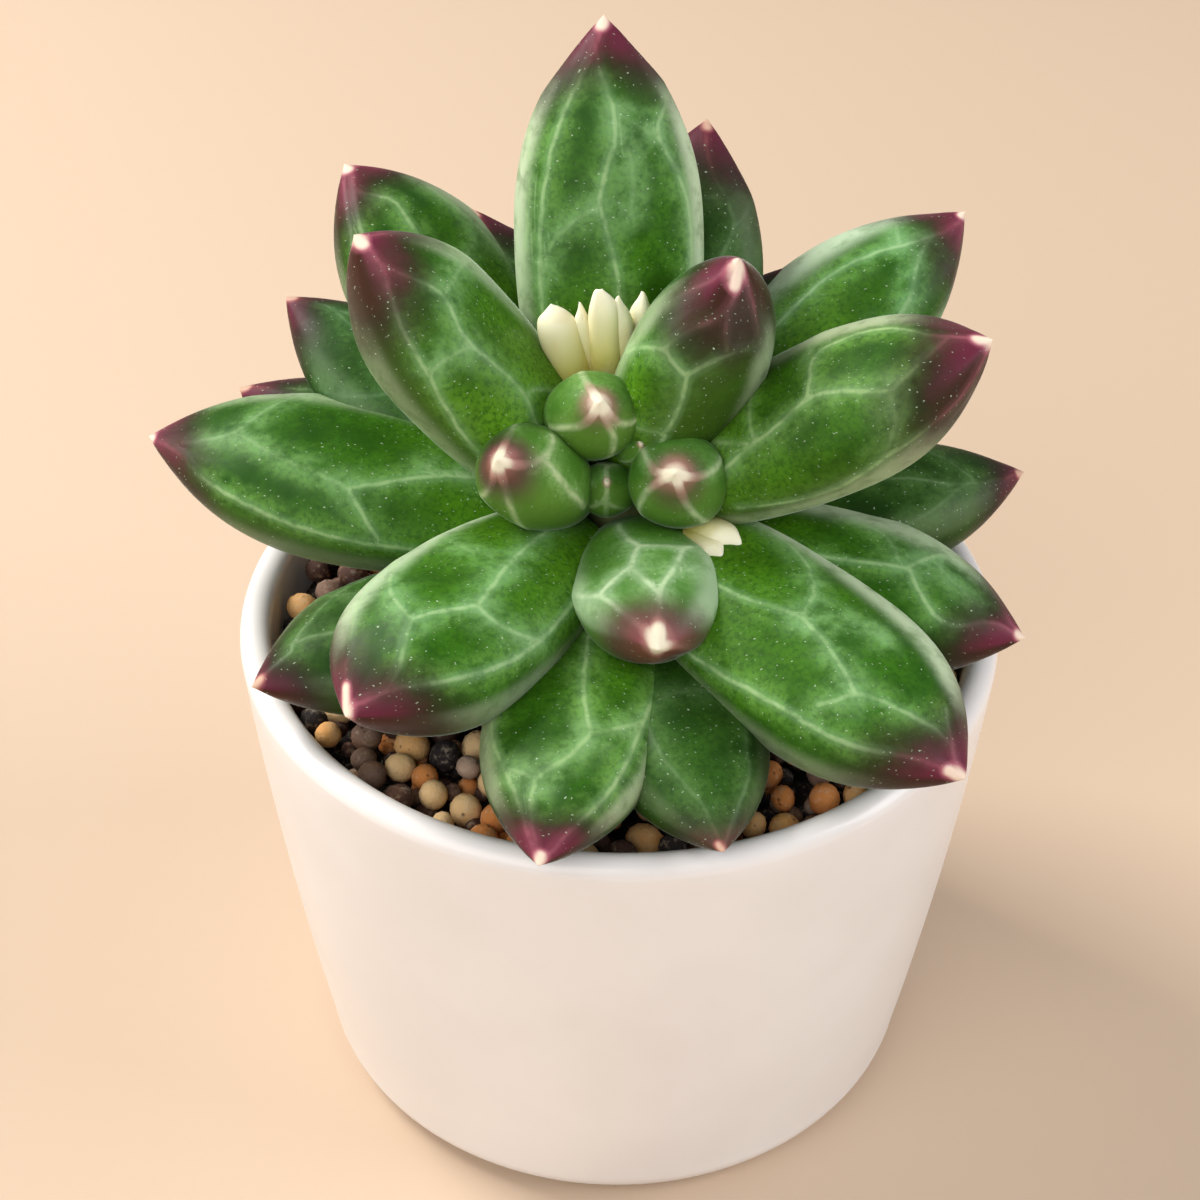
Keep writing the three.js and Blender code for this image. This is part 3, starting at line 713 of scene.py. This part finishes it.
def makeLeaf(name, node, leaf, material):
    # Lays the grid of the skin, lifts it by its facets, and keeps on each point what its colours need
    rings, columns = leaf["grid"]
    s, around = np.meshgrid(ringPlaces(rings, leaf["crowd"]), circle(columns, -math.pi), indexing="ij")
    grid = leafPoints(leaf, s, around)
    skin = grid.reshape(-1, 3)
    ends = leafPoints(leaf, np.array([0.0, 1.0]), np.zeros(2))
    scale = min(1, leaf["width"] / leaf["fullSize"])  # a small leaf has finer lines
    way, near, force, haze = readLines(leaf, skin, scale)
    lift = facetLift(leaf, s, near.reshape(s.shape), force.reshape(s.shape), scale)
    lifted = (grid + skinNormals(grid) * lift[..., None]).reshape(-1, 3)
    points = np.concatenate([ends[:1], lifted, ends[1:]])
    blush = blushReach(leaf, around)
    glowEnd, glowFade = leaf["glowEnd"]
    values = {  # the two numbers are the values at the root's point and at the tip
        "along": withEnds(s, 0, 1),
        "flush": withEnds((s - 1 + blush) / blush, -5, 1),
        "cream": withEnds(creamPatch(leaf, s, skin), -5, 1),
        "rim": withEnds(rimBands(leaf, s, around), 0, 0),
        "glow": withEnds(leaf["glow"] * np.clip((glowEnd - s) / glowFade, 0, 1), 0, 0),
        "near": withEnds(near / scale, 9, 0),
        "force": withEnds(force, 0, 0),
        "haze": withEnds(haze, 0, 0),
        "top": withEnds(np.sin(around), 0, 0),
        "flushStrength": np.full(len(points), leaf["flush"]),
        "tone": np.full(len(points), leaf["tone"]),
    }
    quads, triangles = closedSkin(rings, columns)
    piece = addPiece(name, points, quads, triangles, material, [node], values)
    ways = np.concatenate([[[9, 9, 9]], way, [[0, 0, 0]]]).astype(np.float32)
    piece.data.attributes.new("toLine", "FLOAT_VECTOR", "POINT").data.foreach_set("vector", ways.ravel())


# deep to the rim's colour colour the green skin, and dusk to point the tip. The under colour is painted shade
# on the lower face, glow is painted light through the leaf, the rim's colour is pale bloom with painted rim
# sheen, and the red brown by the blush is the blush in painted shade
leafColours = {
    "upper": dict(deep=rgb(0.012, 0.066, 0.002), mid=rgb(0.034, 0.14, 0.006), fresh=rgb(0.09, 0.25, 0.03),
                  root=rgb(0.055, 0.18, 0.004), glow=rgb(0.15, 0.38, 0.018), haze=rgb(0.19, 0.385, 0.18),
                  line=rgb(0.34, 0.54, 0.27), under=rgb(0.04, 0.09, 0.013), rim=rgb(0.46, 0.6, 0.42),
                  dusk=rgb(0.03, 0.018, 0.012), blush=rgb(0.14, 0.018, 0.045), shadedBlush=rgb(0.05, 0.012, 0.009),
                  pink=rgb(0.46, 0.14, 0.19), point=rgb(0.82, 0.66, 0.54), lineWidth=1.0),
    # The lower leaves' colours, all darker than the upper ones: painted shade under the leaves above
    "lower": dict(deep=rgb(0.01, 0.045, 0.004), mid=rgb(0.026, 0.09, 0.01), fresh=rgb(0.05, 0.14, 0.022),
                  root=rgb(0.025, 0.08, 0.004), glow=rgb(0.04, 0.12, 0.008), haze=rgb(0.08, 0.18, 0.07),
                  line=rgb(0.15, 0.27, 0.13), under=rgb(0.03, 0.06, 0.012), rim=rgb(0.2, 0.3, 0.17),
                  dusk=rgb(0.03, 0.015, 0.014), blush=rgb(0.12, 0.018, 0.04), shadedBlush=rgb(0.06, 0.016, 0.01),
                  pink=rgb(0.4, 0.13, 0.13), point=rgb(0.62, 0.4, 0.3), lineWidth=0.9),
    "centre": dict(deep=rgb(0.055, 0.175, 0.02), mid=rgb(0.11, 0.275, 0.055), fresh=rgb(0.18, 0.37, 0.11),
                   root=rgb(0.075, 0.22, 0.018), glow=rgb(0.12, 0.3, 0.02), haze=rgb(0.28, 0.43, 0.24),
                   line=rgb(0.48, 0.63, 0.38), under=rgb(0.09, 0.21, 0.03), rim=rgb(0.4, 0.54, 0.34),
                   dusk=rgb(0.09, 0.052, 0.042), blush=rgb(0.27, 0.07, 0.09), shadedBlush=rgb(0.17, 0.058, 0.044),
                   pink=rgb(0.42, 0.22, 0.19), point=rgb(0.8, 0.74, 0.58), lineWidth=1.25),
}

# Widths of the patterns in millimetres, and what is the same all over the skin
leafSkin = {
    "blotch": 5, "cloud": 2.4, "grain": 0.5, "shake": 1.7, "bend": 0.5, "bendReach": 0.5, "fleck": 0.34,
    "fleckStretch": (0.5, 1.0, 0.8), "fleckColour": rgb(0.55, 0.68, 0.5), "roughness": (0.4, 0.55),
    "coolTone": rgb(0.9, 1, 1.1), "warmTone": rgb(1.25, 1, 0.75),
    "finish": {
        "Specular IOR Level": 0.12, "Subsurface Weight": 0.06, "Subsurface Radius": (0.6, 1.0, 0.3),
        "Subsurface Scale": 1.2 * mm, "Sheen Weight": 0.35, "Sheen Roughness": 0.15,
        "Sheen Tint": rgb(0.85, 1.0, 0.9)},
}


def facetLines(tree, place, cloud, wide):
    # The way to the nearest line, shaken a little, gives a thin line and a soft one round it
    toLine = addNode(tree, "ShaderNodeAttribute", attribute_name="toLine").outputs["Vector"]
    shake = noiseNode(tree, place, leafSkin["shake"], 3.0).outputs["Color"]
    shaken = vectorNode(tree, "SUBTRACT", shake, (0.5, 0.5, 0.5)).outputs[0]
    shaken = vectorNode(tree, "MULTIPLY_ADD", shaken, (0.5, 0.5, 0.5), toLine).outputs[0]
    far = vectorNode(tree, "LENGTH", shaken).outputs["Value"]
    close = times(tree, ramp(tree, attribute(tree, "near"), 1.0, 0.55), attribute(tree, "force"))
    thin = times(tree, ramp(tree, far, 0.36 * wide, 0.05), close)
    thin = times(tree, thin, ramp(tree, cloud, 0.32, 0.62, 0.2, 0.9))
    return thin, times(tree, ramp(tree, far, 1.1 * wide, 0.1), close)


def greenBody(tree, colours, patterns, thin, soft):
    # Deep in the middle of a facet and fresher beside the lines: partly the bloom, thicker by the lines,
    # partly painted shade in the facets' hollows. Clearer near the root, and darker below as painted shade on
    # the lower face. Haze lies where lines meet, the lines are pale, and the margins are pale bloom with
    # painted rim sheen.
    blotch, cloud, grain = patterns
    top = attribute(tree, "top")
    body = mixColour(tree, ramp(tree, blotch, 0.34, 0.68), colours["deep"], colours["mid"])
    # Fresher beside the lines, deep in the facets' hollows: partly bloom by the lines, partly painted shade
    # in the hollows
    fresh = times(tree, ramp(tree, attribute(tree, "near"), 2.6, 0.6), ramp(tree, cloud, 0.3, 0.65))
    body = mixColour(tree, fresh, body, colours["fresh"])
    body = mixColour(tree, ramp(tree, attribute(tree, "along"), 0.5, 0.15, 0.0, 0.8), body, colours["root"])
    # painted glow of light through the leaf near its root, set leaf by leaf
    glow = times(tree, attribute(tree, "glow"), ramp(tree, blotch, 0.3, 0.6, 0.5, 0.9))
    body = mixColour(tree, glow, body, colours["glow"])
    body = mixColour(tree, ramp(tree, grain, 0.42, 0.68, 0.0, 0.6), body, colours["deep"])
    # Darker on the lower face, and thinner haze there: painted shade where the face turns from the light
    body = mixColour(tree, ramp(tree, top, 0.1, -0.45, 0.0, 0.75), body, colours["under"])
    misty = times(tree, attribute(tree, "haze"), ramp(tree, cloud, 0.32, 0.66, 0.25, 1.0))
    misty = times(tree, misty, ramp(tree, top, -0.5, 0.1, 0.15, 1.0))
    body = mixColour(tree, times(tree, misty, 0.75), body, colours["haze"])
    body = mixColour(tree, times(tree, soft, 0.35), body, colours["haze"])
    # pale bloom with painted rim sheen along the margins
    edge = times(tree, attribute(tree, "rim"), ramp(tree, cloud, 0.25, 0.55, 0.5, 1.0))
    body = mixColour(tree, edge, body, colours["rim"])
    body = mixColour(tree, times(tree, thin, 0.8, True), body, colours["line"])
    tint = mixColour(tree, attribute(tree, "tone"), leafSkin["coolTone"], leafSkin["warmTone"])
    return mixColour(tree, 1.0, body, tint, "MULTIPLY")


def tipColours(tree, colours, body, patterns, thin, soft):
    # Dusk, then purple above and red brown below, the red brown being the blush in painted shade, pink on the
    # lines, and the cream patch last
    blotch, cloud, _ = patterns
    strength = attribute(tree, "flushStrength")
    reach = plus(tree, attribute(tree, "flush"), times(tree, minus(tree, blotch, 0.5), 0.7))
    dusk = times(tree, ramp(tree, reach, -0.45, 0.4, 0.0, 0.92), strength)
    body = mixColour(tree, dusk, body, colours["dusk"])
    # red brown on the lower face is the blush in painted shade
    shade = mixColour(tree, ramp(tree, attribute(tree, "top"), -0.2, 0.3), colours["shadedBlush"], colours["blush"])
    purple = times(tree, ramp(tree, reach, 0.15, 0.85), strength)
    body = mixColour(tree, times(tree, purple, 0.9), body, shade)
    onLine = times(tree, plus(tree, thin, times(tree, soft, 0.4)), purple)
    body = mixColour(tree, times(tree, onLine, 0.4, True), body, colours["pink"])
    tipward = plus(tree, attribute(tree, "cream"), times(tree, soft, 0.6))
    tipward = plus(tree, tipward, times(tree, minus(tree, cloud, 0.5), 0.7))
    body = mixColour(tree, ramp(tree, tipward, -0.9, 0.7, 0.0, 0.75), body, colours["pink"])
    return mixColour(tree, ramp(tree, tipward, 0.0, 1.25), body, colours["point"])


def powderFlecks(tree, place):
    # Cells of a bent and stretched pattern: some are kept, and of each only its middle
    bend = noiseNode(tree, place, leafSkin["bend"], 1.0).outputs["Color"]
    bent = vectorNode(tree, "MULTIPLY_ADD", bend, (leafSkin["bendReach"] * mm,) * 3, place).outputs[0]
    bent = vectorNode(tree, "MULTIPLY", bent, leafSkin["fleckStretch"]).outputs[0]
    cells = cellNode(tree, bent, leafSkin["fleck"])
    kept = addNode(tree, "ShaderNodeSeparateColor", {0: cells.outputs["Color"]}).outputs[0]
    return times(tree, ramp(tree, cells.outputs["Distance"], 0.22, 0.06), ramp(tree, kept, 0.45, 1.0))


def leafMaterial(kind):
    colours = leafColours[kind]
    material, tree, shader, place = newMaterial(kind + "LeafSkin")
    blotch = noise(tree, place, leafSkin["blotch"], 4)
    cloud = noise(tree, place, leafSkin["cloud"], 4, 0.6)
    grain = noise(tree, place, leafSkin["grain"], 3, 0.6)
    patterns = (blotch, cloud, grain)
    thin, soft = facetLines(tree, place, cloud, colours["lineWidth"])
    body = greenBody(tree, colours, patterns, thin, soft)
    body = tipColours(tree, colours, body, patterns, thin, soft)
    fleck = powderFlecks(tree, place)
    body = mixColour(tree, times(tree, fleck, 0.75), body, leafSkin["fleckColour"])
    tree.links.new(body, shader.inputs["Base Color"])
    gloss = ramp(tree, cloud, 0.25, 0.75, *leafSkin["roughness"])
    tree.links.new(gloss, shader.inputs["Roughness"])
    setShader(shader, leafSkin["finish"])
    height = plus(tree, times(tree, grain, 0.25), times(tree, fleck, 0.3))
    height = plus(tree, height, times(tree, soft, 0.5))
    addBump(tree, shader, height, 0.4, 0.14)
    return material


def makeLeaves(kind, leaves, grid, section=()):
    # A leaf's own values come before those of its kind, and those before the usual shape's
    skin = leafMaterial(kind)
    for number, own in enumerate(leaves, 1):
        leaf = {**leafShape, **dict(section), **own, "grid": grid}
        leaf["tone"] = draw.uniform(0.25, 0.6)
        if "lines" not in leaf:
            leaf["lines"] = variedLines(usualLines, leaf["jointShifts"])
        makeLeaf(f"{kind}LeafSkin{number}", f"{kind}_leaf_{number}", leaf, skin)


makeLeaves("upper", upperLeaves, (160, 128))
print("upper leaves made")
makeLeaves("lower", lowerLeaves, (104, 96))
makeLeaves("centre", centreLeaves, (96, 96), {"above": 0.42, "below": 0.45})
print("lower and centre leaves made")

# Each bract is a petal: width is across, and each peak of its top edge is (across, height, width)
bractShape = {
    "widest": 0.72, "rootWidth": 0.45, "shoulder": 4.0, "rootRound": 0.06, "thick": 0.8, "crowd": 0.7,
    "crownFrom": 0.5, "grid": (60, 56),
    "base": rgb(0.72, 0.62, 0.16), "ivory": rgb(0.97, 0.9, 0.62), "blotch": rgb(0.9, 0.76, 0.4),
    "edge": rgb(0.98, 0.95, 0.82),
    "finish": {
        "Roughness": 0.5, "Specular IOR Level": 0.3, "Subsurface Weight": 0.3,
        "Subsurface Radius": (1.0, 0.9, 0.5), "Subsurface Scale": 1.2 * mm},
}
bracts = [
    dict(root=(-0.8, 2.5, 76), turn=-55, rise=85.5, length=18.5, width=3.2,
         peaks=((-0.5, 1.0, 0.3), (0.8, 0.1, 0.3))),
    dict(root=(-3, 2, 76), turn=-98, rise=76, length=16.5, width=4.2,
         peaks=((-0.95, 0.9, 0.3), (0.1, 0.2, 0.7))),
    dict(root=(0.4, 3, 76), turn=-37, rise=86, length=17, width=2.7,
         peaks=((-0.2, 0.8, 0.35), (0.9, -0.3, 0.3))),
    dict(root=(-2, 3, 76), turn=-77, rise=82, length=16, width=2.0,
         peaks=((0.2, 0.9, 0.35), (-0.9, -0.1, 0.3))),
    dict(root=(1.6, 3, 76), turn=162, rise=87.5, length=16.5, width=2.6,
         peaks=((0.3, 0.9, 0.4), (-0.8, 0.0, 0.3))),
    dict(root=(-5, 1, 76), turn=-103, rise=76.5, length=7.5, width=1.9, peaks=((-0.6, 0.2, 0.5),)),
    dict(root=(4, -1, 75), turn=73, rise=48.5, length=7, width=2.0,
         peaks=((0.8, 0.6, 0.3), (-0.6, 0.5, 0.3))),
    dict(root=(5, -4.6, 72.2), turn=41, rise=9, length=9.4, width=4.0,
         peaks=((0.3, 0.9, 0.3), (-0.7, -0.3, 0.3))),
    dict(root=(4.8, -5.4, 71.4), turn=31, rise=11, length=9.6, width=3.6, peaks=((0.1, 0.6, 0.35),)),
]


def bractPoints(bract, s, around):
    # A petal: narrow root, blunt end, and an oval section whose wide way lies towards +X. The end is
    # drawn out along the petal by the sum of its peaks, each a bell curve of the place across.
    along = leafAxes(bract)[0]
    across = np.array([1, 0, 0]) - along[0] * along
    across /= np.linalg.norm(across)
    half = leafOutline(bract, s)
    share = np.cos(around) * half / (bract["width"] / 2)
    crown = sum(height * np.exp(-((share - at) / wide) ** 2) for at, height, wide in bract["peaks"])
    start = bract["crownFrom"]
    reach = s * bract["length"] + crown * np.clip((s - start) / (1 - start), 0, 1) ** 3
    return (np.array(bract["root"], float) + reach[..., None] * along
            + (half * np.cos(around))[..., None] * across
            + (bract["thick"] * half * np.sin(around))[..., None] * np.cross(along, across))


def bractMaterial():
    # Ivory that is yellower towards the root, blotched, and paler at its top edge
    material, tree, shader, place = newMaterial("ivoryBract")
    along = attribute(tree, "along")
    body = mixColour(tree, ramp(tree, along, 0.5, 0.92), bractShape["base"], bractShape["ivory"])
    blotch = ramp(tree, noise(tree, place, 2.0, 3), 0.5, 0.7, 0, 0.45)
    body = mixColour(tree, blotch, body, bractShape["blotch"])
    body = mixColour(tree, ramp(tree, along, 0.8, 1.0, 0, 0.5), body, bractShape["edge"])
    tree.links.new(body, shader.inputs["Base Color"])
    setShader(shader, bractShape["finish"])
    addBump(tree, shader, noise(tree, place, 0.8, 3), 0.3, 0.12)
    return material


def makeBracts():
    ivory = bractMaterial()
    rings, columns = bractShape["grid"]
    s, around = np.meshgrid(ringPlaces(rings, bractShape["crowd"]), circle(columns), indexing="ij")
    quads, triangles = closedSkin(rings, columns)
    values = {"along": withEnds(s, 0, 1)}
    for number, own in enumerate(bracts, 1):
        bract = {**leafShape, **bractShape, **own}
        ends = bractPoints(bract, np.array([0.0, 1.0]), np.zeros(2))
        points = np.concatenate([ends[:1], bractPoints(bract, s, around).reshape(-1, 3), ends[1:]])
        addPiece(f"ivoryBract{number}", points, quads, triangles, ivory, [f"bract_{number}"], values)


stem = {
    "path": [(0, 2, 46), (0, 2, 56), (0, 1, 65), (0, -0.5, 72), (-0.4, -1, 76.5)],
    "radius": (4.6, 5.2, 5.0, 4.2, 2.5), "scars": 9, "swelling": 0.03, "grid": (60, 40), "cap": 1,
    "bark": (rgb(0.1, 0.16, 0.04), rgb(0.24, 0.25, 0.1)), "finish": {"Roughness": 0.7},
}


def stemMaterial():
    material, tree, shader, place = newMaterial("stemSkin")
    bark = noise(tree, place, 1.5, 5)
    tree.links.new(mixColour(tree, bark, *stem["bark"]), shader.inputs["Base Color"])
    setShader(shader, stem["finish"])
    addBump(tree, shader, bark, 0.6, 0.3)
    return material


def makeStem():
    # Rings carried up the stem's path, with a shallow swelling at each leaf scar
    rings, columns = stem["grid"]
    at = np.linspace(0, 1, rings)
    stops = np.linspace(0, 1, len(stem["path"]))
    middle = np.stack([np.interp(at, stops, np.array(stem["path"], float)[:, k]) for k in range(3)], 1)
    swelling = 1 + stem["swelling"] * np.sin(at * stem["scars"] * 2 * math.pi)
    radius = np.interp(at, stops, stem["radius"]) * swelling
    around = circle(columns)
    ring = np.stack([np.cos(around), np.sin(around), 0 * around], 1)
    points = (middle[:, None] + radius[:, None, None] * ring[None]).reshape(-1, 3)
    points = np.concatenate([middle[:1], points, middle[-1:] + [[0, 0, stem["cap"]]]])
    quads, triangles = closedSkin(rings, columns)
    addPiece("stemSkin", points, quads, triangles, stemMaterial(), ["stem"])


makeBracts()
makeStem()
print("bracts and stem made")

# Places of the lights in metres
studio = {
    "floor": rgb(0.6, 0.46, 0.34), "floorHalf": 4.0, "floorRoughness": 0.8,
    "world": rgb(1.0, 0.97, 0.94), "worldStrength": 0.28, "aim": (0, 0, 0.06),
    "key": dict(at=(-0.5, 0.26, 0.6), size=0.35, power=7.0, colour=(1.0, 0.96, 0.9)),
    "fill": dict(at=(-0.35, -0.6, 0.5), size=0.7, power=4.3, colour=(1.0, 0.98, 0.96)),
    "side": dict(at=(0.7, -0.1, 0.4), size=0.5, power=4.0, colour=(0.98, 0.98, 1.0)),
}


def makeFloor():
    half = studio["floorHalf"]
    corners = [(-half, -half, 0), (half, -half, 0), (half, half, 0), (-half, half, 0)]
    mesh = bpy.data.meshes.new("floor")
    mesh.from_pydata(corners, [], [(0, 1, 2, 3)])
    floor = bpy.data.objects.new("floor", mesh)
    bpy.context.scene.collection.objects.link(floor)
    material, _, shader, _ = newMaterial("floorPaint")
    setShader(shader, {"Base Color": studio["floor"], "Roughness": studio["floorRoughness"]})
    mesh.materials.append(material)


def makeLight(name):
    # A square lamp that shines at the aim
    light = studio[name]
    data = bpy.data.lights.new(name, "AREA")
    data.energy, data.size, data.color = light["power"], light["size"], light["colour"]
    lamp = bpy.data.objects.new(name, data)
    lamp.location = light["at"]
    towards = np.array(studio["aim"]) - np.array(light["at"])
    lamp.rotation_mode = "QUATERNION"
    lamp.rotation_quaternion = Vector(towards).to_track_quat("-Z", "Y")
    bpy.context.scene.collection.objects.link(lamp)


view = {
    "aim": (-2, 0, 57.2), "away": 263.8, "pitchDown": 38.84, "roll": 0.385, "lens": 75.0, "sensor": 36.0,
    "clipStart": 0.01,  # metres
}


def makeCamera():
    # Looks along a line that falls by the pitch, turned a little about that line
    data = bpy.data.cameras.new("camera")
    data.lens, data.sensor_width, data.clip_start = view["lens"], view["sensor"], view["clipStart"]
    pitch, roll = math.radians(view["pitchDown"]), math.radians(view["roll"])
    ahead = Vector((0, math.cos(pitch), -math.sin(pitch)))
    right = Vector((1, 0, 0))
    up = right.cross(ahead)
    turnedRight = math.cos(roll) * right + math.sin(roll) * up
    turnedUp = math.cos(roll) * up - math.sin(roll) * right
    camera = bpy.data.objects.new("camera", data)
    placed = Matrix((turnedRight, turnedUp, -ahead)).transposed().to_4x4()
    placed.translation = (Vector(view["aim"]) - ahead * view["away"]) * mm
    camera.matrix_world = placed
    bpy.context.scene.collection.objects.link(camera)
    bpy.context.scene.camera = camera


def makeWorld():
    world = bpy.data.worlds.new("studio")
    world.use_nodes = True
    background = world.node_tree.nodes["Background"]
    background.inputs[0].default_value = studio["world"]
    background.inputs[1].default_value = studio["worldStrength"]
    bpy.context.scene.world = world


makeFloor()
for lightName in ("key", "fill", "side"):
    makeLight(lightName)
makeWorld()
makeCamera()
bpy.context.scene.view_settings.view_transform = "Standard"

print("all pieces made")
